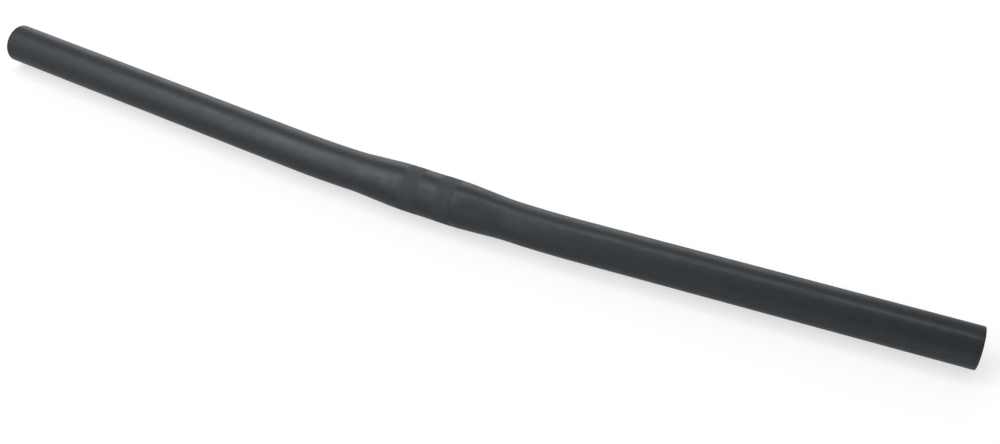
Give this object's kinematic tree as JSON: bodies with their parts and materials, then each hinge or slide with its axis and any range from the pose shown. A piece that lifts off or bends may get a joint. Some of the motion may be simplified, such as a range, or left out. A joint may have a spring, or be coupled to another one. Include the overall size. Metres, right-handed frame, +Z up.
{
  "type": "flat handlebar",
  "caption": "Flat bicycle handlebar: one butted tube with a knurled stem clamp zone in the middle, swaged shoulders and straight arms swept a few degrees back.",
  "frame": {"origin": "middle of the stem clamp zone, on the tube's axis", "axes": "+X along the bar to the rider's left, +Y back to the rider, the way both arms are swept, +Z up"},
  "size_m": [0.58, 0.0394, 0.0256],
  "materials": {
    "black_anodised": "satin"
  },
  "bodies": {
    "root": {"handlebar": "black_anodised"}
  },
  "joints": []
}
